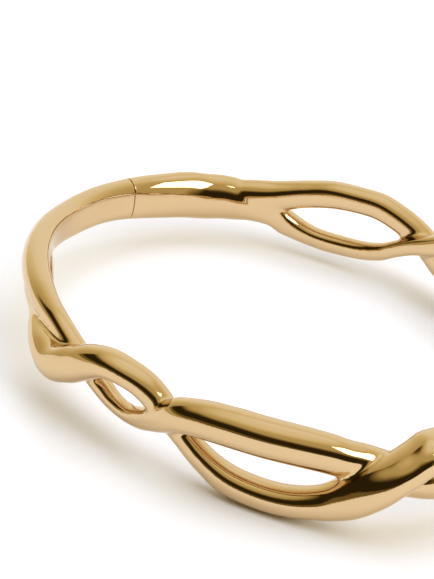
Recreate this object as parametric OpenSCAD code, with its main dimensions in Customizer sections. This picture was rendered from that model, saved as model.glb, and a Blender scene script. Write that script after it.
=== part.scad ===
// Hinged bangle of two metal strands that twist round each other and run
// together into one plain tube at the clasp and at the hinge.
// It lies on its side: the wrist passes along Z, the clasp is near -X and the
// hinge at +X. The origin is on the floor, below the middle of the wrist space.

/* [Wrist opening] */
// Length of the opening, along X
wrist_l = 58.6; // [50:0.2:72]
// Width of the opening, along Y
wrist_w = 48.2; // [42:0.2:62]

/* [Strands] */
// Thickness of a strand that the tables give shares of
strand_d = 4; // [3:0.1:5]
// Height above or below the middle that the tables give shares of
rise = 4.5; // [3.6:0.1:5.4]
// Sides of a strand's section
strand_sides = 20; // [12:2:24]
// Angle round the bangle between two sections
ring_step = 3.5; // [3:0.5:6]

/* [Clasp] */
// Place of the clasp's seam round the bangle, from the hinge
seam_at = 166; // [160:1:172]
// Gap between the two halves at the seam
seam_gap = 0.14; // [0.1:0.02:0.3]
// Rounding of the edges at the seam
seam_edge = 0.25; // [0.1:0.05:0.4]
// Length of the clasp's tongue
tongue_l = 5; // [3:0.2:7]
// Thickness of the tongue, across the band
tongue_t = 1.1; // [0.8:0.1:1.4]
// Height of the tongue
tongue_h = 2; // [1.4:0.1:2.6]
// Clearance round the tongue
tongue_fit = 0.12; // [0.08:0.02:0.2]

/* [Hinge] */
// Radius of the hinge's barrel
barrel_r = 1.85; // [1.7:0.05:2.2]
// Height of the barrel
barrel_h = 4.4; // [4:0.1:5]
// Radius of the hinge pin
pin_r = 0.65; // [0.5:0.05:0.8]
// Clearance round the pin
pin_fit = 0.05; // [0.03:0.01:0.1]
// Gap between the moving faces of the hinge
hinge_gap = 0.15; // [0.1:0.05:0.25]
// Length of the web between the barrel and the band
web_l = 1; // [0.6:0.1:1.5]
// Radius of the pin's riveted heads
head_r = 1; // [0.9:0.05:1.2]
// Height of the riveted heads
head_h = 0.3; // [0.2:0.05:0.4]
// How far the hinge opens, shown here for a look at its travel
open_angle = 0; // [0:5:50]

/* [Hidden] */
$fn = 64;

// Columns of the strand tables
ANGLE = 0; // degrees round the bangle, from the hinge
HEIGHT = 1; // middle of the section above the bangle's middle, share of rise
LIFT = 2; // from the wrist wall to the section, share of strand_d; below 0 it stands proud
THICK = 3; // section across the band, share of strand_d
TALL = 4; // section across the strand, along the band, share of strand_d
FLAT = 5; // face against the wrist: below 2 it has a soft ridge, 2 is round, 5 nearly flat

// The strand that is in front at the second near crossing
STRAND_A = [
    [0, 0.10, 0.00, 0.88, 0.84, 2.6],
    [8, 0.08, 0.00, 0.86, 0.82, 2.6],
    [15, -0.10, 0.00, 0.78, 0.76, 2.6],
    [22, -0.46, 0.02, 0.72, 0.74, 2.6],
    [29, -0.72, 0.08, 0.72, 0.78, 2.6],
    [36, -0.66, 0.22, 0.80, 0.84, 2.6],
    [42, -0.36, 0.36, 0.88, 0.92, 2.6],
    [47, 0.06, 0.40, 0.94, 1.00, 2.6],
    [53, 0.52, 0.32, 0.96, 1.02, 2.6],
    [62, 0.84, 0.14, 0.86, 0.92, 2.4],
    [72, 0.92, 0.02, 0.76, 0.82, 2.4],
    [82, 0.62, 0.00, 0.66, 0.72, 2.4],
    [88, 0.28, 0.00, 0.62, 0.66, 2.4],
    [92, 0.06, 0.00, 0.56, 0.56, 2.4],
    [96, -0.22, 0.00, 0.52, 0.52, 2.4],
    [100, -0.52, 0.00, 0.54, 0.54, 2.4],
    [105, -0.72, 0.02, 0.57, 0.57, 2.4],
    [112, -0.81, 0.03, 0.60, 0.60, 2.4],
    [117, -0.79, 0.05, 0.61, 0.61, 2.4],
    [121, -0.68, 0.05, 0.68, 0.69, 2.4],
    [124, -0.54, 0.04, 0.74, 0.77, 2.6],
    [127, -0.34, 0.04, 0.82, 0.91, 2.8],
    [130, -0.27, 0.03, 0.88, 0.97, 2.6],
    [133, -0.22, 0.01, 0.94, 1.12, 2.0],
    [136, -0.18, 0.00, 0.97, 1.34, 1.7],
    [140, -0.15, 0.00, 0.98, 1.45, 1.7],
    [144, -0.16, 0.00, 0.98, 1.50, 1.7],
    [149, -0.12, 0.00, 0.98, 1.52, 1.8],
    [156, -0.10, 0.00, 0.94, 1.44, 2.1],
    [163, -0.04, 0.00, 0.88, 1.34, 2.4],
    [169, 0.02, 0.01, 0.81, 1.25, 2.8],
    [176, 0.06, 0.04, 0.78, 1.18, 3.4],
    [188, 0.10, 0.08, 0.77, 1.08, 5.0],
    [200, 0.24, 0.10, 0.76, 0.98, 5.0],
    [212, 0.37, 0.10, 0.76, 0.84, 4.4],
    [222, 0.42, 0.10, 0.77, 0.80, 3.6],
    [230, 0.43, 0.12, 0.74, 0.76, 3.0],
    [236, 0.38, 0.14, 0.68, 0.70, 2.8],
    [241, 0.32, 0.12, 0.64, 0.66, 2.4],
    [247, 0.12, 0.07, 0.62, 0.64, 2.4],
    [253, -0.13, 0.00, 0.60, 0.60, 2.4],
    [258, -0.36, 0.00, 0.56, 0.56, 2.4],
    [262, -0.53, 0.00, 0.52, 0.50, 2.4],
    [266, -0.54, 0.02, 0.54, 0.50, 2.4],
    [270, -0.37, 0.08, 0.60, 0.60, 2.4],
    [274, -0.06, 0.16, 0.70, 0.72, 2.4],
    [279, 0.34, 0.20, 0.86, 0.92, 2.4],
    [284, 0.49, 0.12, 0.96, 1.02, 2.4],
    [290, 0.54, 0.06, 1.00, 1.08, 2.4],
    [297, 0.54, 0.04, 1.00, 1.10, 2.4],
    [304, 0.51, 0.02, 0.96, 1.10, 2.4],
    [310, 0.44, 0.02, 0.90, 1.08, 2.4],
    [314, 0.35, 0.02, 0.86, 1.04, 2.4],
    [318, 0.28, 0.00, 0.82, 1.00, 2.4],
    [323, 0.12, 0.00, 0.80, 0.92, 2.4],
    [328, -0.20, 0.00, 0.78, 0.84, 2.4],
    [334, -0.24, 0.01, 0.80, 1.04, 2.4],
    [340, -0.22, 0.02, 0.82, 1.06, 2.4],
    [345, -0.10, 0.02, 0.84, 0.96, 2.4],
    [350, 0.02, 0.02, 0.86, 0.82, 2.6],
    [355, 0.09, 0.00, 0.88, 0.84, 2.6],
    [360, 0.10, 0.00, 0.88, 0.84, 2.6]
];

// The strand that is in front at the first and third near crossings
STRAND_B = [
    [0, -0.10, 0.00, 0.88, 0.84, 2.6],
    [8, -0.06, 0.02, 0.86, 0.82, 2.6],
    [15, 0.14, 0.10, 0.80, 0.80, 2.6],
    [22, 0.50, 0.16, 0.80, 0.84, 2.6],
    [29, 0.70, 0.12, 0.80, 0.86, 2.4],
    [36, 0.58, 0.05, 0.76, 0.82, 2.4],
    [42, 0.26, 0.00, 0.70, 0.74, 2.4],
    [47, -0.06, 0.00, 0.66, 0.68, 2.4],
    [53, -0.42, 0.00, 0.64, 0.66, 2.4],
    [62, -0.78, 0.04, 0.66, 0.68, 2.4],
    [70, -0.84, 0.12, 0.70, 0.72, 2.4],
    [79, -0.62, 0.30, 0.74, 0.70, 2.4],
    [86, -0.37, 0.36, 0.78, 0.76, 2.4],
    [91, 0.00, 0.38, 0.78, 0.78, 2.4],
    [95, 0.28, 0.31, 0.78, 0.76, 2.4],
    [99, 0.49, 0.22, 0.78, 0.77, 2.4],
    [103, 0.62, 0.14, 0.80, 0.80, 2.4],
    [108, 0.63, 0.06, 0.80, 0.80, 2.4],
    [114, 0.57, 0.02, 0.80, 0.84, 2.4],
    [120, 0.39, 0.03, 0.80, 0.83, 2.4],
    [124, 0.24, 0.03, 0.80, 0.88, 2.3],
    [128, 0.11, 0.03, 0.80, 0.96, 2.1],
    [134, 0.00, 0.05, 0.78, 1.04, 1.9],
    [138, -0.02, 0.11, 0.71, 0.94, 1.9],
    [142, 0.00, 0.12, 0.70, 0.90, 2.4],
    [148, -0.06, 0.10, 0.62, 0.78, 3.0],
    [158, -0.03, 0.20, 0.46, 0.60, 3.0],
    [176, 0.06, 0.20, 0.42, 0.56, 3.0],
    [196, 0.18, 0.20, 0.42, 0.56, 3.0],
    [206, 0.14, 0.08, 0.58, 0.66, 3.0],
    [213, 0.08, -0.04, 0.76, 0.74, 3.6],
    [221, 0.00, -0.07, 0.84, 0.76, 3.6],
    [229, -0.10, -0.02, 0.78, 0.66, 3.2],
    [235, -0.13, 0.28, 0.72, 0.67, 2.8],
    [241, -0.16, 0.50, 0.76, 0.78, 2.4],
    [247, -0.22, 0.50, 0.90, 0.98, 2.4],
    [253, 0.13, 0.40, 0.94, 1.04, 2.4],
    [258, 0.49, 0.30, 0.98, 0.95, 2.4],
    [262, 0.69, 0.21, 0.95, 0.81, 2.4],
    [266, 0.69, 0.15, 0.87, 0.73, 2.4],
    [270, 0.54, 0.05, 0.80, 0.70, 2.4],
    [274, 0.23, 0.00, 0.74, 0.74, 2.4],
    [279, -0.21, 0.00, 0.68, 0.66, 2.4],
    [284, -0.64, 0.00, 0.68, 0.70, 2.4],
    [290, -0.95, 0.00, 0.78, 0.82, 2.4],
    [297, -1.06, 0.02, 0.84, 0.84, 2.4],
    [304, -1.00, 0.12, 0.87, 0.84, 2.4],
    [310, -0.79, 0.22, 0.92, 0.88, 2.4],
    [314, -0.54, 0.20, 1.10, 1.06, 2.4],
    [318, -0.24, 0.20, 1.26, 1.18, 2.4],
    [322, 0.08, 0.18, 1.36, 1.10, 2.4],
    [326, 0.43, 0.10, 1.40, 1.00, 2.4],
    [330, 0.76, 0.06, 1.36, 1.02, 2.4],
    [335, 0.86, 0.04, 1.22, 0.96, 2.4],
    [340, 0.70, 0.02, 1.06, 0.92, 2.4],
    [345, 0.34, 0.04, 0.88, 0.90, 2.4],
    [350, 0.02, 0.02, 0.86, 0.84, 2.6],
    [355, -0.08, 0.00, 0.88, 0.84, 2.6],
    [360, -0.10, 0.00, 0.88, 0.84, 2.6]
];

turn = 360;
tiny = 0.01;
// The lowest strand rests on the floor
low_share = min([for (r = STRAND_B) r[HEIGHT] * rise - r[TALL] * strand_d / 2]);
mid_z = -low_share;
// Middle of the band above the wrist wall at the hinge and the clasp
band_mid = (STRAND_A[0][LIFT] + STRAND_A[0][THICK] / 2) * strand_d;
hinge_x = wrist_l / 2 + band_mid;
knuckle_h = barrel_h / 3;
slot_h = knuckle_h + 2 * hinge_gap;
clear_r = barrel_r + hinge_gap;
web_r = clear_r + web_l;
// Angle round the bangle that one millimetre takes at the seam
seam_deg = 1 / norm([wrist_l / 2 * sin(seam_at), wrist_w / 2 * cos(seam_at)]) * 180 / PI;

// Place on the wrist wall at an angle, and the direction away from the wrist
function wall(a) = [wrist_l / 2 * cos(a), wrist_w / 2 * sin(a)];
function outward(a) =
    let (v = [cos(a) / wrist_l, sin(a) / wrist_w]) v / norm(v);

// A table column, smooth between its rows and across 0 and 360 degrees
function row_before(rows, a) = max([for (k = [0 : len(rows) - 2]) if (rows[k][ANGLE] <= a) k]);
function column_slope(rows, k, col) =
    let (
        last = len(rows) - 1,
        before = k > 0 ? rows[k - 1] : rows[last - 1] - [turn, 0, 0, 0, 0, 0],
        after = k < last ? rows[k + 1] : rows[1] + [turn, 0, 0, 0, 0, 0]
    ) (after[col] - before[col]) / (after[ANGLE] - before[ANGLE]);
function column(rows, a, col) =
    let (
        k = row_before(rows, a),
        span = rows[k + 1][ANGLE] - rows[k][ANGLE],
        t = (a - rows[k][ANGLE]) / span,
        t2 = t * t,
        t3 = t2 * t
    ) (2 * t3 - 3 * t2 + 1) * rows[k][col] + (3 * t2 - 2 * t3) * rows[k + 1][col]
        + (t3 - 2 * t2 + t) * span * column_slope(rows, k, col)
        + (t3 - t2) * span * column_slope(rows, k + 1, col);

// One coordinate of a unit outline, from a circle at 2 towards a square above it
function eased(v, power) = sign(v) * pow(abs(v), 2 / power);

// One upright section of a strand, inset by an edge rounding
function section(rows, a, inset) =
    let (
        a_in = min(max(a, 0), turn - tiny),
        step = 1,
        lo = max(a_in - step, 0),
        hi = min(a_in + step, turn - tiny),
        climb = (column(rows, hi, HEIGHT) - column(rows, lo, HEIGHT)) * rise,
        run = norm(wall(hi) - wall(lo)),
        lean = norm([1, climb / run]),
        thick = column(rows, a_in, THICK) * strand_d / 2,
        tall = column(rows, a_in, TALL) * strand_d / 2 * lean,
        out = column(rows, a_in, LIFT) * strand_d + thick,
        flat = column(rows, a_in, FLAT),
        z = mid_z + column(rows, a_in, HEIGHT) * rise
    ) [for (k = [0 : strand_sides - 1])
        let (
            c = cos(turn * k / strand_sides),
            s = sin(turn * k / strand_sides),
            power = c > 0 ? 2 : flat,
            p = wall(a) + outward(a) * (out + (thick - inset) * eased(c, power))
        ) [p[0], p[1], z + (tall - inset) * eased(s, power)]];

// A strand from one angle to another, its ends eased by the edge rounding
module strand(rows, from, to, from_edge, to_edge) {
    count = ceil((to - from) / ring_step);
    ends = [from_edge * seam_deg, to_edge * seam_deg];
    stops = concat(
        from_edge > 0 ? [[from, from_edge]] : [],
        [for (k = [0 : count])
            let (t = k / count) [(from + ends[0]) * (1 - t) + (to - ends[1]) * t, 0]],
        to_edge > 0 ? [[to, to_edge]] : []
    );
    n = strand_sides;
    last = len(stops) - 1;
    points = [for (s = stops) each section(rows, s[0], s[1])];
    sides = [for (i = [0 : last - 1], k = [0 : n - 1])
        let (a = i * n + k, b = i * n + (k + 1) % n)
        each [[a, b, b + n], [a, b + n, a + n]]];
    polyhedron(points, concat(
        sides,
        [[for (k = [n - 1 : -1 : 0]) k]],
        [[for (k = [0 : n - 1]) last * n + k]]
    ));
}

// A part of the bangle's two strands
module strands(from, to, from_edge, to_edge) {
    strand(STRAND_A, from, to, from_edge, to_edge);
    strand(STRAND_B, from, to, from_edge, to_edge);
}

module at_hinge() {
    translate([hinge_x, 0, mid_z]) children();
}

// The socket that the clasp's tongue fits, in line with the hinge's swing
module tongue_block(grow) {
    mid = wall(seam_at) + outward(seam_at) * band_mid;
    arm = mid - [hinge_x, 0];
    translate([mid[0], mid[1], mid_z])
        rotate([0, 0, atan2(arm[1], arm[0])])
            cube([tongue_t, tongue_l, tongue_h] + 2 * [grow, grow, grow], center = true);
}

module pin_bore() {
    at_hinge() cylinder(h = 4 * barrel_h, r = pin_r + pin_fit, center = true);
}

// The half on the -Y side, with the hinge's fork
module front_half() {
    color("goldenrod") difference() {
        union() {
            strands(seam_at + seam_gap / 2 * seam_deg, turn, seam_edge, 0);
            at_hinge() cylinder(h = barrel_h, r = barrel_r, center = true);
        }
        at_hinge() cylinder(h = slot_h, r = clear_r, center = true);
        pin_bore();
        tongue_block(tongue_fit);
    }
}

// The half on the +Y side, with the hinge's eye
module back_half() {
    color("gold") difference() {
        union() {
            difference() {
                strands(0, seam_at - seam_gap / 2 * seam_deg, 0, seam_edge);
                at_hinge() cylinder(h = 4 * barrel_h, r = clear_r, center = true);
            }
            at_hinge() intersection() {
                cylinder(h = knuckle_h, r = web_r, center = true);
                union() {
                    cylinder(h = barrel_h, r = barrel_r, center = true);
                    translate([-barrel_r, 0, -barrel_h / 2]) cube([2 * barrel_r, web_r, barrel_h]);
                }
            }
        }
        pin_bore();
        tongue_block(tongue_fit);
    }
}

// The riveted pin that the halves turn on
module hinge_pin() {
    color("darkgoldenrod") at_hinge() {
        cylinder(h = barrel_h + 2 * head_h, r = pin_r, center = true);
        for (side = [-1, 1])
            translate([0, 0, side * (barrel_h + head_h + hinge_gap) / 2])
                cylinder(h = head_h - hinge_gap, r = head_r, center = true);
    }
}

// The plain tongue inside the clasp
module clasp_tongue() {
    color("khaki") tongue_block(0);
}

front_half();
translate([hinge_x, 0, 0]) rotate([0, 0, -open_angle]) translate([-hinge_x, 0, 0]) back_half();
hinge_pin();
clasp_tongue();
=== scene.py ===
import math

import bmesh
import bpy
from mathutils import Matrix, Vector


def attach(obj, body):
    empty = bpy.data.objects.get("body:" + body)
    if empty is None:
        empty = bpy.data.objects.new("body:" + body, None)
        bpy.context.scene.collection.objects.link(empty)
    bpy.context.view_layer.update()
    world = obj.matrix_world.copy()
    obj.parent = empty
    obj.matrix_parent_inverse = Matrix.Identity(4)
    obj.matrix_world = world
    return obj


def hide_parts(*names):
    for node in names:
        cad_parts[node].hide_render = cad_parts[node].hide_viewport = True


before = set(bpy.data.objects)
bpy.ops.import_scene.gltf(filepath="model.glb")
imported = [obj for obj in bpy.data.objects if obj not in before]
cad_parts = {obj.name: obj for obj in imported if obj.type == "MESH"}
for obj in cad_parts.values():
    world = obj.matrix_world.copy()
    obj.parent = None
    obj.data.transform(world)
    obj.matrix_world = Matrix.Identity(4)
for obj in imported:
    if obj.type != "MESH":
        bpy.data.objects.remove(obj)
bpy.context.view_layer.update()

mm = 0.001
fullTurn = 360
scene = bpy.context.scene

# The rows give each strand's sections round the bangle: the angle from the hinge, then as shares of
# the band's measures the middle's height, the lift off the wrist, the thickness and how tall the
# section is, and last how flat its side towards the wrist is, where 2 is round.
columns = ("angle", "height", "lift", "thick", "tall", "flat")
risingRows = [
    (0, 0.10, 0.00, 0.88, 0.84, 2.6),
    (8, 0.08, 0.00, 0.86, 0.82, 2.6),
    (15, -0.10, 0.00, 0.78, 0.76, 2.6),
    (22, -0.46, 0.02, 0.72, 0.74, 2.6),
    (29, -0.72, 0.08, 0.72, 0.78, 2.6),
    (36, -0.66, 0.22, 0.80, 0.84, 2.6),
    (42, -0.36, 0.36, 0.88, 0.92, 2.6),
    (47, 0.06, 0.40, 0.94, 1.00, 2.6),
    (53, 0.52, 0.32, 0.96, 1.02, 2.6),
    (62, 0.84, 0.14, 0.86, 0.92, 2.4),
    (72, 0.92, 0.02, 0.76, 0.82, 2.4),
    (82, 0.62, 0.00, 0.66, 0.72, 2.4),
    (88, 0.28, 0.00, 0.62, 0.66, 2.4),
    (92, 0.06, 0.00, 0.56, 0.56, 2.4),
    (96, -0.22, 0.00, 0.52, 0.52, 2.4),
    (100, -0.52, 0.00, 0.54, 0.54, 2.4),
    (105, -0.72, 0.02, 0.57, 0.57, 2.4),
    (112, -0.81, 0.03, 0.60, 0.60, 2.4),
    (117, -0.79, 0.05, 0.61, 0.61, 2.4),
    (121, -0.68, 0.05, 0.68, 0.69, 2.4),
    (124, -0.54, 0.04, 0.74, 0.77, 2.6),
    (127, -0.34, 0.04, 0.82, 0.91, 2.8),
    (130, -0.27, 0.03, 0.88, 0.97, 2.6),
    (133, -0.22, 0.01, 0.94, 1.12, 2.0),
    (136, -0.18, 0.00, 0.97, 1.34, 1.7),
    (140, -0.15, 0.00, 0.98, 1.45, 1.7),
    (144, -0.16, 0.00, 0.98, 1.50, 1.7),
    (149, -0.12, 0.00, 0.98, 1.52, 1.8),
    (156, -0.10, 0.00, 0.94, 1.44, 2.1),
    (163, -0.04, 0.00, 0.88, 1.34, 2.4),
    (169, 0.02, 0.01, 0.81, 1.25, 2.8),
    (176, 0.06, 0.04, 0.78, 1.18, 3.4),
    (188, 0.10, 0.08, 0.77, 1.08, 5.0),
    (200, 0.24, 0.10, 0.76, 0.98, 5.0),
    (212, 0.37, 0.10, 0.76, 0.84, 4.4),
    (222, 0.42, 0.10, 0.77, 0.80, 3.6),
    (230, 0.43, 0.12, 0.74, 0.76, 3.0),
    (236, 0.38, 0.14, 0.68, 0.70, 2.8),
    (241, 0.32, 0.12, 0.64, 0.66, 2.4),
    (247, 0.12, 0.07, 0.62, 0.64, 2.4),
    (253, -0.13, 0.00, 0.60, 0.60, 2.4),
    (258, -0.36, 0.00, 0.56, 0.56, 2.4),
    (262, -0.53, 0.00, 0.52, 0.50, 2.4),
    (266, -0.54, 0.02, 0.54, 0.50, 2.4),
    (270, -0.37, 0.08, 0.60, 0.60, 2.4),
    (274, -0.06, 0.16, 0.70, 0.72, 2.4),
    (279, 0.34, 0.20, 0.86, 0.92, 2.4),
    (284, 0.49, 0.12, 0.96, 1.02, 2.4),
    (290, 0.54, 0.06, 1.00, 1.08, 2.4),
    (297, 0.54, 0.04, 1.00, 1.10, 2.4),
    (304, 0.51, 0.02, 0.96, 1.10, 2.4),
    (310, 0.44, 0.02, 0.90, 1.08, 2.4),
    (314, 0.35, 0.02, 0.86, 1.04, 2.4),
    (318, 0.28, 0.00, 0.82, 1.00, 2.4),
    (323, 0.12, 0.00, 0.80, 0.92, 2.4),
    (328, -0.20, 0.00, 0.78, 0.84, 2.4),
    (334, -0.24, 0.01, 0.80, 1.04, 2.4),
    (340, -0.22, 0.02, 0.82, 1.06, 2.4),
    (345, -0.10, 0.02, 0.84, 0.96, 2.4),
    (350, 0.02, 0.02, 0.86, 0.82, 2.6),
    (355, 0.09, 0.00, 0.88, 0.84, 2.6),
    (360, 0.10, 0.00, 0.88, 0.84, 2.6),
]
fallingRows = [
    (0, -0.10, 0.00, 0.88, 0.84, 2.6),
    (8, -0.06, 0.02, 0.86, 0.82, 2.6),
    (15, 0.14, 0.10, 0.80, 0.80, 2.6),
    (22, 0.50, 0.16, 0.80, 0.84, 2.6),
    (29, 0.70, 0.12, 0.80, 0.86, 2.4),
    (36, 0.58, 0.05, 0.76, 0.82, 2.4),
    (42, 0.26, 0.00, 0.70, 0.74, 2.4),
    (47, -0.06, 0.00, 0.66, 0.68, 2.4),
    (53, -0.42, 0.00, 0.64, 0.66, 2.4),
    (62, -0.78, 0.04, 0.66, 0.68, 2.4),
    (70, -0.84, 0.12, 0.70, 0.72, 2.4),
    (79, -0.62, 0.30, 0.74, 0.70, 2.4),
    (86, -0.37, 0.36, 0.78, 0.76, 2.4),
    (91, 0.00, 0.38, 0.78, 0.78, 2.4),
    (95, 0.28, 0.31, 0.78, 0.76, 2.4),
    (99, 0.49, 0.22, 0.78, 0.77, 2.4),
    (103, 0.62, 0.14, 0.80, 0.80, 2.4),
    (108, 0.63, 0.06, 0.80, 0.80, 2.4),
    (114, 0.57, 0.02, 0.80, 0.84, 2.4),
    (120, 0.39, 0.03, 0.80, 0.83, 2.4),
    (124, 0.24, 0.03, 0.80, 0.88, 2.3),
    (128, 0.11, 0.03, 0.80, 0.96, 2.1),
    (134, 0.00, 0.05, 0.78, 1.04, 1.9),
    (138, -0.02, 0.11, 0.71, 0.94, 1.9),
    (142, 0.00, 0.12, 0.70, 0.90, 2.4),
    (148, -0.06, 0.10, 0.62, 0.78, 3.0),
    (158, -0.03, 0.20, 0.46, 0.60, 3.0),
    (176, 0.06, 0.20, 0.42, 0.56, 3.0),
    (196, 0.18, 0.20, 0.42, 0.56, 3.0),
    (206, 0.14, 0.08, 0.58, 0.66, 3.0),
    (213, 0.08, -0.04, 0.76, 0.74, 3.6),
    (221, 0.00, -0.07, 0.84, 0.76, 3.6),
    (229, -0.10, -0.02, 0.78, 0.66, 3.2),
    (235, -0.13, 0.28, 0.72, 0.67, 2.8),
    (241, -0.16, 0.50, 0.76, 0.78, 2.4),
    (247, -0.22, 0.50, 0.90, 0.98, 2.4),
    (253, 0.13, 0.40, 0.94, 1.04, 2.4),
    (258, 0.49, 0.30, 0.98, 0.95, 2.4),
    (262, 0.69, 0.21, 0.95, 0.81, 2.4),
    (266, 0.69, 0.15, 0.87, 0.73, 2.4),
    (270, 0.54, 0.05, 0.80, 0.70, 2.4),
    (274, 0.23, 0.00, 0.74, 0.74, 2.4),
    (279, -0.21, 0.00, 0.68, 0.66, 2.4),
    (284, -0.64, 0.00, 0.68, 0.70, 2.4),
    (290, -0.95, 0.00, 0.78, 0.82, 2.4),
    (297, -1.06, 0.02, 0.84, 0.84, 2.4),
    (304, -1.00, 0.12, 0.87, 0.84, 2.4),
    (310, -0.79, 0.22, 0.92, 0.88, 2.4),
    (314, -0.54, 0.20, 1.10, 1.06, 2.4),
    (318, -0.24, 0.20, 1.26, 1.18, 2.4),
    (322, 0.08, 0.18, 1.36, 1.10, 2.4),
    (326, 0.43, 0.10, 1.40, 1.00, 2.4),
    (330, 0.76, 0.06, 1.36, 1.02, 2.4),
    (335, 0.86, 0.04, 1.22, 0.96, 2.4),
    (340, 0.70, 0.02, 1.06, 0.92, 2.4),
    (345, 0.34, 0.04, 0.88, 0.90, 2.4),
    (350, 0.02, 0.02, 0.86, 0.84, 2.6),
    (355, -0.08, 0.00, 0.88, 0.84, 2.6),
    (360, -0.10, 0.00, 0.88, 0.84, 2.6),
]

band = {
    "wristLength": 58.6 * mm,
    "wristWidth": 48.2 * mm,
    "strand": 4 * mm,  # the rows' lift, thick and tall are shares of it
    "rise": 4.5 * mm,  # the rows' height is a share of it
    "roundPower": 2,  # for the outer side of a section
    "sides": 64,
    "degreesPerRing": 0.6,
    "overlap": 6,  # degrees that a strand runs past its half before the cut
    "voxel": 0.17 * mm,
    "smoothRounds": 11,
    "smoothFactor": 0.5,
    "creaseAngle": 38,  # edges that turn by more degrees stay sharp
}
seam = {
    "at": 166,  # degrees round from the hinge
    "gap": 0.06 * mm,
    "edge": 0.13 * mm,
    "edgeSteps": 4,
    "reach": 9 * mm,  # how near the seam a face is cut
}

halfLength = band["wristLength"] / 2
halfWidth = band["wristWidth"] / 2
# The band's middle is as high as the lowest strand needs to touch the floor.
middleZ = max(tall * band["strand"] / 2 - height * band["rise"]
              for angle, height, lift, thick, tall, flat in fallingRows)
plainTube = dict(zip(columns, risingRows[0]))
bandMiddle = (plainTube["lift"] + plainTube["thick"] / 2) * band["strand"]
hingePlace = Vector((halfLength + bandMiddle, 0, middleZ))
across = Vector((0, 1, 0))
upward = Vector((0, 0, 1))


def wallPoint(angle):  # on the oval round the wrist
    turn = math.radians(angle)
    return Vector((halfLength * math.cos(turn), halfWidth * math.sin(turn), 0))


def outward(angle):
    turn = math.radians(angle)
    return Vector((math.cos(turn) / halfLength, math.sin(turn) / halfWidth, 0)).normalized()


def slopeAt(rows, k, column):
    last = len(rows) - 1
    before = rows[k - 1] if k > 0 else rows[last - 1]
    after = rows[k + 1] if k < last else rows[1]
    return (after[column] - before[column]) / ((after[0] - before[0]) % fullTurn)


def columnAt(rows, angle, name):  # a smooth curve through the rows
    column = columns.index(name)
    angle = angle % fullTurn
    k = max(i for i in range(len(rows) - 1) if rows[i][0] <= angle)
    span = rows[k + 1][0] - rows[k][0]
    t = (angle - rows[k][0]) / span
    start = (2 * t**3 - 3 * t**2 + 1) * rows[k][column]
    end = (3 * t**2 - 2 * t**3) * rows[k + 1][column]
    leave = (t**3 - 2 * t**2 + t) * span * slopeAt(rows, k, column)
    arrive = (t**3 - t**2) * span * slopeAt(rows, k + 1, column)
    return start + end + leave + arrive


def ringShape(rows, angle):  # an upright section, so it is taller where the strand climbs
    climb = (columnAt(rows, angle + 1, "height") - columnAt(rows, angle - 1, "height")) * band["rise"]
    run = (wallPoint(angle + 1) - wallPoint(angle - 1)).length
    thick = columnAt(rows, angle, "thick") * band["strand"] / 2
    middle = columnAt(rows, angle, "lift") * band["strand"] + thick
    place = wallPoint(angle) + outward(angle) * middle
    place.z = middleZ + columnAt(rows, angle, "height") * band["rise"]
    tall = columnAt(rows, angle, "tall") * band["strand"] / 2 * math.hypot(1, climb / run)
    return place, outward(angle) * thick, upward * tall, columnAt(rows, angle, "flat")


def eased(value, power):  # bends a circle's outline, which a power of 2 leaves round
    return math.copysign(abs(value) ** (2 / power), value)


def addStrand(bm, rows, first, last):  # a straight tube of unit rings, bent into its place
    steps = round((last - first) / band["degreesPerRing"])
    circle = bmesh.ops.create_circle(bm, segments=band["sides"], radius=1)["verts"]
    edges = [edge for edge in bm.edges if not edge.verts[0].tag]
    bmesh.ops.spin(bm, geom=circle + edges, axis=upward, dvec=upward, angle=0, steps=steps)
    tube = [vert for vert in bm.verts if not vert.tag]  # without the strand that is there already
    shapes = [ringShape(rows, first + (last - first) * k / steps) for k in range(steps + 1)]
    for vert in tube:
        place, out, rise, flat = shapes[round(vert.co.z)]
        power = band["roundPower"] if vert.co.x > 0 else flat
        vert.co = place + out * eased(vert.co.x, power) + rise * eased(vert.co.y, power)
        vert.tag = True
    bmesh.ops.holes_fill(bm, edges=[edge for edge in bm.edges if edge.is_boundary])


def newPiece(name, bm):
    mesh = bpy.data.meshes.new(name)
    bm.to_mesh(mesh)
    bm.free()
    piece = bpy.data.objects.new(name, mesh)
    scene.collection.objects.link(piece)
    return piece


def applyModifiers(piece):
    graph = bpy.context.evaluated_depsgraph_get()
    finished = bpy.data.meshes.new_from_object(piece.evaluated_get(graph))
    piece.modifiers.clear()
    piece.data = finished


def combine(piece, operation, tool):
    change = piece.modifiers.new("combine", "BOOLEAN")
    change.operation = operation
    change.solver = "MANIFOLD"
    change.object = tool
    applyModifiers(piece)
    bpy.data.objects.remove(tool)


def cutEnd(bm, place, normal, reach):  # cuts off what lies past a plane near a place
    near = [face for face in bm.faces if (face.calc_center_median() - place).length < reach]
    edges = dict.fromkeys(edge for face in near for edge in face.edges)
    verts = dict.fromkeys(vert for face in near for vert in face.verts)
    bmesh.ops.bisect_plane(bm, geom=[*near, *edges, *verts], plane_co=place, plane_no=normal,
                           clear_outer=True)
    return [edge for edge in bm.edges if edge.is_boundary]


def roundRim(bm, rim, normal, size, steps):  # rolls a rim over a quarter circle and closes it
    for k in range(steps):
        start, stop = (math.pi / 2 * (k + j) / steps for j in (0, 1))
        grown = bmesh.ops.extrude_edge_only(bm, edges=rim)["geom"]
        verts = [part for part in grown if isinstance(part, bmesh.types.BMVert)]
        rim = [part for part in grown if isinstance(part, bmesh.types.BMEdge) and part.is_boundary]
        centre = sum((vert.co for vert in verts), Vector()) / len(verts)
        ahead = size * (math.sin(stop) - math.sin(start))
        inward = size * (math.cos(start) - math.cos(stop))
        for vert in verts:
            vert.co += normal * ahead + (centre - vert.co).normalized() * inward
    bmesh.ops.holes_fill(bm, edges=rim)


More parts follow.
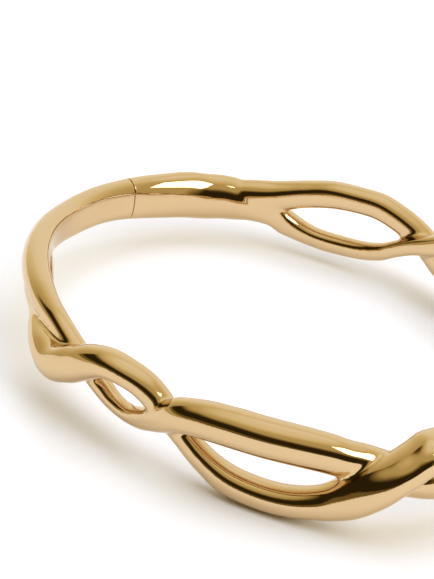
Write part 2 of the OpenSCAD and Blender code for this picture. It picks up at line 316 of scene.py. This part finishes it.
hinge = {
    "barrelRadius": 1.85 * mm,
    "barrelHeight": 4.4 * mm,
    "gap": 0.15 * mm,  # between the knuckles, and round the barrel
    "webLength": 1 * mm,  # of the neck between the eye and the back half
    "edge": 0.12 * mm,
    "edgeSteps": 3,
    "segments": 72,
    "reach": 9 * mm,  # how near the hinge a face is cut
}
rivet = {
    "radius": 0.65 * mm,
    "fit": 0.05 * mm,
    "headRadius": 1 * mm,
    "headTop": 0.3 * mm,  # how far a head stands out of the barrel
    "headGap": 0.02 * mm,  # between a head and the barrel
    "headEdge": 0.45,  # share of a head's depth that is rounded
}
tongue = {
    "thick": 1.1 * mm,
    "length": 5 * mm,
    "tall": 2 * mm,
    "fit": 0.12 * mm,
    "edge": 0.15 * mm,
    "edgeSteps": 3,
}


def rod(name, radius, height, rounding=0, place=hingePlace):
    bm = bmesh.new()
    bmesh.ops.create_cone(bm, cap_ends=True, segments=hinge["segments"], radius1=radius,
                          radius2=radius, depth=height, matrix=Matrix.Translation(place))
    if rounding:
        rims = [edge for edge in bm.edges
                if abs(edge.verts[0].co.z - edge.verts[1].co.z) < height / 2]
        bmesh.ops.bevel(bm, geom=rims, offset=rounding, segments=hinge["edgeSteps"], profile=0.5,
                        affect="EDGES", material=-1)
    return newPiece(name, bm)


def block(name, size, matrix, rounding=0):
    bm = bmesh.new()
    bmesh.ops.create_cube(bm, size=1)
    bmesh.ops.scale(bm, vec=size, verts=bm.verts)
    if rounding:
        bmesh.ops.bevel(bm, geom=bm.edges[:], offset=rounding, segments=tongue["edgeSteps"],
                        profile=0.5, affect="EDGES", material=-1)
    bmesh.ops.transform(bm, matrix=matrix, verts=bm.verts)
    return newPiece(name, bm)


seamMiddle = wallPoint(seam["at"]) + outward(seam["at"]) * bandMiddle + upward * middleZ
seamAlong = (wallPoint(seam["at"] + 1) - wallPoint(seam["at"] - 1)).normalized()
swingArm = seamMiddle - hingePlace
tonguePlace = Matrix.Translation(seamMiddle) @ Matrix.Rotation(
    math.atan2(swingArm.y, swingArm.x), 4, "Z")  # square to the arm, so that it swings free


def tongueBlock(name, grow, rounding=0):
    size = Vector((tongue["thick"], tongue["length"], tongue["tall"])) + Vector((2, 2, 2)) * grow
    return block(name, size, tonguePlace, rounding)


def castHalf(name, first, last, seamSide):
    bm = bmesh.new()
    addStrand(bm, risingRows, first - band["overlap"], last + band["overlap"])
    addStrand(bm, fallingRows, first - band["overlap"], last + band["overlap"])
    bmesh.ops.recalc_face_normals(bm, faces=bm.faces)
    half = newPiece(name, bm)
    soften = half.modifiers.new("cast", "REMESH")
    soften.mode = "VOXEL"
    soften.voxel_size = band["voxel"]
    applyModifiers(half)

    bm = bmesh.new()
    bm.from_mesh(half.data)
    for _ in range(band["smoothRounds"]):
        bmesh.ops.smooth_vert(bm, verts=bm.verts, factor=band["smoothFactor"], use_axis_x=True,
                              use_axis_y=True, use_axis_z=True)
    rim = cutEnd(bm, hingePlace, across * -seamSide, hinge["reach"])
    bmesh.ops.holes_fill(bm, edges=rim)
    normal = seamAlong * seamSide
    back = normal * (seam["gap"] / 2 + seam["edge"])
    rim = cutEnd(bm, seamMiddle - back, normal, seam["reach"])
    roundRim(bm, rim, normal, seam["edge"], seam["edgeSteps"])
    bm.to_mesh(half.data)
    bm.free()
    print(name, "cast:", len(half.data.polygons), "faces")
    return half


def finishEdges(piece):
    bm = bmesh.new()
    bm.from_mesh(piece.data)
    bmesh.ops.triangulate(bm, faces=[face for face in bm.faces if len(face.verts) > 4])
    for face in bm.faces:
        face.smooth = True
    for edge in bm.edges:
        edge.smooth = edge.calc_face_angle(0) < math.radians(band["creaseAngle"])
    bm.to_mesh(piece.data)
    bm.free()


class Wire:  # one socket of a node tree; an expression on wires adds its Math nodes
    def __init__(self, tree, socket=None):
        self.tree = tree
        self.socket = socket

    def node(self, kind, settings=None, values=None, output=0):
        made = self.tree.nodes.new(kind)
        for name, value in (settings or {}).items():
            if name == "stops":
                ramp = made.color_ramp.elements
                while len(ramp) < len(value):
                    ramp.new(1)
                for stop, (position, colour) in zip(ramp, value):
                    stop.position = position
                    stop.color = (*colour, 1)
            else:
                setattr(made, name, value)
        for name, value in (values or {}).items():
            if isinstance(value, Wire):
                self.tree.links.new(value.socket, made.inputs[name])
            else:
                made.inputs[name].default_value = value
        return Wire(self.tree, made.outputs[output] if made.outputs else None)

    def math(self, operation, first, second):
        return self.node("ShaderNodeMath", {"operation": operation}, {0: first, 1: second})

    def __add__(self, other):
        return self.math("ADD", self, other)

    def __sub__(self, other):
        return self.math("SUBTRACT", self, other)

    def __rsub__(self, other):
        return self.math("SUBTRACT", other, self)

    def __mul__(self, other):
        return self.math("MULTIPLY", self, other)

    __radd__ = __add__
    __rmul__ = __mul__


def emptyTree(owner):  # of a material or the world
    owner.use_nodes = True
    owner.node_tree.nodes.clear()
    return Wire(owner.node_tree)


def patches(place, look, part):
    return place.node("ShaderNodeTexNoise", None, {
        "Vector": place, "Scale": look[part + "Scale"], "Detail": look[part + "Detail"]})


def unevenRoughness(noise, look):
    return noise * look["roughnessSpread"] + (look["roughness"] - look["roughnessSpread"] / 2)


gold = {
    "colour": (0.7, 0.505, 0.28),
    "deepColour": (0.67, 0.48, 0.26),
    "tintScale": 90,  # patches per metre
    "tintDetail": 2,
    "roughness": 0.06,
    "roughnessSpread": 0.05,
    "polishScale": 420,
    "polishDetail": 3,
    "waveScale": 260,
    "waveDetail": 1,
    "waveHeight": 0.012 * mm,
    "waveStrength": 0.12,
}
satin = {
    **gold,
    "colour": (0.70, 0.49, 0.25),
    "deepColour": (0.62, 0.42, 0.2),
    "roughness": 0.28,
    "roughnessSpread": 0.1,
    "waveStrength": 0.3,
}


def metal(name, look):
    material = bpy.data.materials.new(name)
    tree = emptyTree(material)
    place = tree.node("ShaderNodeTexCoord", output="Object")
    colour = tree.node("ShaderNodeMix", {"data_type": "RGBA"}, {
        "Factor": patches(place, look, "tint"),
        6: (*look["colour"], 1),  # 6 and 7 are the node's colour inputs, and 2 its colour output
        7: (*look["deepColour"], 1),
    }, 2)
    bump = tree.node("ShaderNodeBump", None, {
        "Strength": look["waveStrength"],
        "Distance": look["waveHeight"],
        "Height": patches(place, look, "wave"),
    })
    shader = tree.node("ShaderNodeBsdfPrincipled", None, {
        "Base Color": colour,
        "Metallic": 1,
        "Roughness": unevenRoughness(patches(place, look, "polish"), look),
        "Normal": bump,
    })
    tree.node("ShaderNodeOutputMaterial", None, {"Surface": shader})
    return material


def dress(piece, material, body, name):
    finishEdges(piece)
    piece.data.materials.clear()
    piece.data.materials.append(material)
    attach(piece, body)
    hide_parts(name)


polished = metal("polishedGold", gold)
brushed = metal("satinGold", satin)

knuckleHeight = hinge["barrelHeight"] / 3  # the fork has two and the eye is the third
slotHeight = knuckleHeight + 2 * hinge["gap"]
clearRadius = hinge["barrelRadius"] + hinge["gap"]
boreRadius = rivet["radius"] + rivet["fit"]
throughHeight = 4 * hinge["barrelHeight"]  # taller than the band, so that a cut goes right through

front = castHalf("frontHalf", seam["at"], fullTurn, -1)
combine(front, "UNION", rod("barrel", hinge["barrelRadius"], hinge["barrelHeight"], hinge["edge"]))
combine(front, "DIFFERENCE", rod("slot", clearRadius, slotHeight))
combine(front, "DIFFERENCE", rod("bore", boreRadius, throughHeight))
combine(front, "DIFFERENCE", tongueBlock("socket", tongue["fit"]))
dress(front, polished, "front", "front_half")
print("front half:", len(front.data.polygons), "faces")

back = castHalf("backHalf", 0, seam["at"], 1)
combine(back, "DIFFERENCE", rod("room", clearRadius, throughHeight))
combine(back, "UNION", rod("eye", hinge["barrelRadius"], knuckleHeight, hinge["edge"]))
webDepth = hinge["webLength"] + clearRadius
web = Matrix.Translation(hingePlace + across * webDepth / 2)
webSize = (2 * hinge["barrelRadius"] - 4 * hinge["edge"], webDepth, knuckleHeight - hinge["edge"])
combine(back, "UNION", block("web", webSize, web))
combine(back, "DIFFERENCE", rod("bore", boreRadius, throughHeight))
combine(back, "DIFFERENCE", tongueBlock("socket", tongue["fit"]))
dress(back, polished, "back", "back_half")
print("back half:", len(back.data.polygons), "faces")

pinHeight = hinge["barrelHeight"] + 2 * rivet["headTop"]
pin = rod("hingePin", rivet["radius"], pinHeight - rivet["headTop"])
headDepth = rivet["headTop"] - rivet["headGap"]
headEdge = headDepth * rivet["headEdge"]
for side in (-1, 1):
    headPlace = hingePlace + upward * side * (pinHeight - headDepth) / 2
    combine(pin, "UNION", rod("head", rivet["headRadius"], headDepth, headEdge, headPlace))
dress(pin, polished, "front", "hinge_pin")

key = tongueBlock("claspTongue", 0, tongue["edge"])
dress(key, brushed, "back", "clasp_tongue")
print("pin and tongue made")

floorLook = {
    "radius": 1.2,
    "segments": 96,
    "colour": (0.93, 0.93, 0.93),
    "roughness": 0.6,
    "roughnessSpread": 0.1,
    "shine": 0.1,
    "grainScale": 900,
    "grainDetail": 2,
}
studio = {
    "open": 0.58,  # brightness of the room all round
    "behind": 0.46,  # more of it from the wall behind the bangle
    "wallTurn": -15,  # degrees to the right of straight behind
    "above": 0.36,  # more of it from the ceiling
    "aboveFrom": 0.75,  # sine of the height at which the ceiling starts
    "dark": 0.02,  # the unlit side in front
    "darkWidth": 70,  # degrees each way from straight in front
    "darkLow": 11,  # degrees above the horizon
    "darkHigh": 30,
    "brown": 0.2,  # a stripe of it under the dark
    "brownLow": 0,
    "tiltBrown": -14,  # how far the lower edges of the stripe and the dark slope, in degrees
    "tiltLow": -10,
    "tiltHigh": -10,  # and the dark's upper edge
    "sharp": 2,  # degrees that a lower edge fades over, each way
    "softHigh": 15,  # and the upper edge
    "softSides": 9,
    "strength": 1.05,
    "tones": [
        (0, (0.012, 0.008, 0.002)), (0.3, (0.27, 0.2, 0.07)), (0.5, (0.49, 0.41, 0.19)),
        (0.65, (0.65, 0.56, 0.31)), (0.85, (0.85, 0.79, 0.53)), (1, (1, 1, 0.94))],
}
lights = {
    "sideBox": {"place": (0.66, 0.01, 0.57), "size": (0.42, 0.42), "radiance": 4},
    "fill": {"place": (0, 0.1, 1.3), "size": (1.6, 1.6), "radiance": 1.9, "seen": False,
             "colour": (0.62, 0.7, 1)},
}


def paper(name, look):
    material = bpy.data.materials.new(name)
    tree = emptyTree(material)
    place = tree.node("ShaderNodeTexCoord", output="Object")
    shader = tree.node("ShaderNodeBsdfPrincipled", None, {
        "Base Color": (*look["colour"], 1),
        "Roughness": unevenRoughness(patches(place, look, "grain"), look),
        "Specular IOR Level": look["shine"],
    })
    tree.node("ShaderNodeOutputMaterial", None, {"Surface": shader})
    return material


def layFloor():
    bm = bmesh.new()
    bmesh.ops.create_circle(bm, cap_ends=True, segments=floorLook["segments"],
                            radius=floorLook["radius"])
    floor = newPiece("floor", bm)
    floor.data.materials.append(paper("palePaper", floorLook))


def hangLight(name, setup):
    lamp = bpy.data.lights.new(name, "AREA")
    lamp.shape = "RECTANGLE"
    lamp.size, lamp.size_y = setup["size"]
    lamp.energy = setup["radiance"] * math.pi * lamp.size * lamp.size_y  # watts for an even glow
    lamp.color = setup.get("colour", (1, 1, 1))
    light = bpy.data.objects.new(name, lamp)
    light.location = setup["place"]
    light.rotation_euler = light.location.to_track_quat("Z", "Y").to_euler()
    light.visible_glossy = setup.get("seen", True)
    scene.collection.objects.link(light)


def paintSky():
    world = bpy.data.worlds.new("studio")
    scene.world = world
    tree = emptyTree(world)
    direction = tree.node("ShaderNodeTexCoord", output="Generated")

    def between(value, low, high):  # climbs from 0 to 1
        return tree.node("ShaderNodeMapRange", {"interpolation_type": "SMOOTHSTEP"},
                         {"Value": value, "From Min": low, "From Max": high})

    def degrees(value):
        return tree.node("ShaderNodeMath", {"operation": "DEGREES"}, {0: value})

    def heightAt(tilt):  # degrees above a horizon that is tilted to one side
        tilted = tree.node("ShaderNodeMapping", {"vector_type": "NORMAL"}, {
            "Vector": direction, "Rotation": (0, math.radians(tilt), 0)})
        upwards = tree.node("ShaderNodeSeparateXYZ", None, {"Vector": tilted}, 2)
        return degrees(tree.node("ShaderNodeMath", {"operation": "ARCSINE"}, {0: upwards}))

    def over(edge, tilt):  # 1 above a sloping edge
        return between(heightAt(tilt), edge - studio["sharp"], edge + studio["sharp"])

    turn = math.radians(studio["wallTurn"])
    wall = tree.node("ShaderNodeVectorMath", {"operation": "DOT_PRODUCT"},
                     {0: direction, 1: (math.sin(turn), math.cos(turn), 0)}, "Value")
    x, y, z = (tree.node("ShaderNodeSeparateXYZ", None, {"Vector": direction}, k) for k in range(3))
    room = between(wall, 0, 1) * studio["behind"] + studio["open"]
    room = room + between(z, studio["aboveFrom"], 1) * studio["above"]

    overBrown = over(studio["brownLow"], studio["tiltBrown"])
    overDark = over(studio["darkLow"], studio["tiltLow"])
    pastDark = between(heightAt(studio["tiltHigh"]), studio["darkHigh"],
                       studio["darkHigh"] + studio["softHigh"])
    side = degrees(tree.math("ARCTAN2", x, y * -1))
    left = between(side, -studio["darkWidth"] - studio["softSides"], -studio["darkWidth"])
    right = between(side, studio["darkWidth"], studio["darkWidth"] + studio["softSides"])
    front = overBrown * (1 - pastDark) * left * (1 - right)
    dark = overDark * studio["dark"] + (1 - overDark) * studio["brown"]
    shade = room * (1 - front) + front * dark
    tones = tree.node("ShaderNodeValToRGB", {"stops": studio["tones"]}, {"Fac": shade})
    glow = tree.node("ShaderNodeBackground", None, {"Color": tones, "Strength": studio["strength"]})
    tree.node("ShaderNodeOutputWorld", None, {"Surface": glow})


layFloor()
for name, setup in lights.items():
    hangLight(name, setup)
paintSky()
scene.view_settings.view_transform = "Standard"
print("studio set up")

shot = {
    "yaw": 34.6,  # degrees to the right of straight in front
    "elevation": 30.7,
    "roll": 9.1,
    "distance": 300 * mm,
    "centre": (-9.9 * mm, -1.3 * mm),  # what the middle of the picture looks at
    "focalPixels": 2652,
    "frameHeight": 579,  # in pixels too
    "sensor": 36,
    "nearest": 0.01,
}


def placeCamera():
    yaw, tilt, roll = (math.radians(shot[name]) for name in ("yaw", "elevation", "roll"))
    back = Vector((math.sin(yaw) * math.cos(tilt), -math.cos(yaw) * math.cos(tilt), math.sin(tilt)))
    camera = bpy.data.objects.new("camera", bpy.data.cameras.new("camera"))
    camera.data.sensor_width = shot["sensor"]
    camera.data.lens = shot["focalPixels"] * shot["sensor"] / shot["frameHeight"]
    camera.data.clip_start = shot["nearest"]
    camera.location = Vector((*shot["centre"], middleZ)) + back * shot["distance"]
    camera.rotation_euler = (back.to_track_quat("Z", "Y").to_matrix()
                             @ Matrix.Rotation(roll, 3, "Z")).to_euler()
    scene.collection.objects.link(camera)
    scene.camera = camera


placeCamera()
bpy.context.view_layer.update()
print("camera placed")
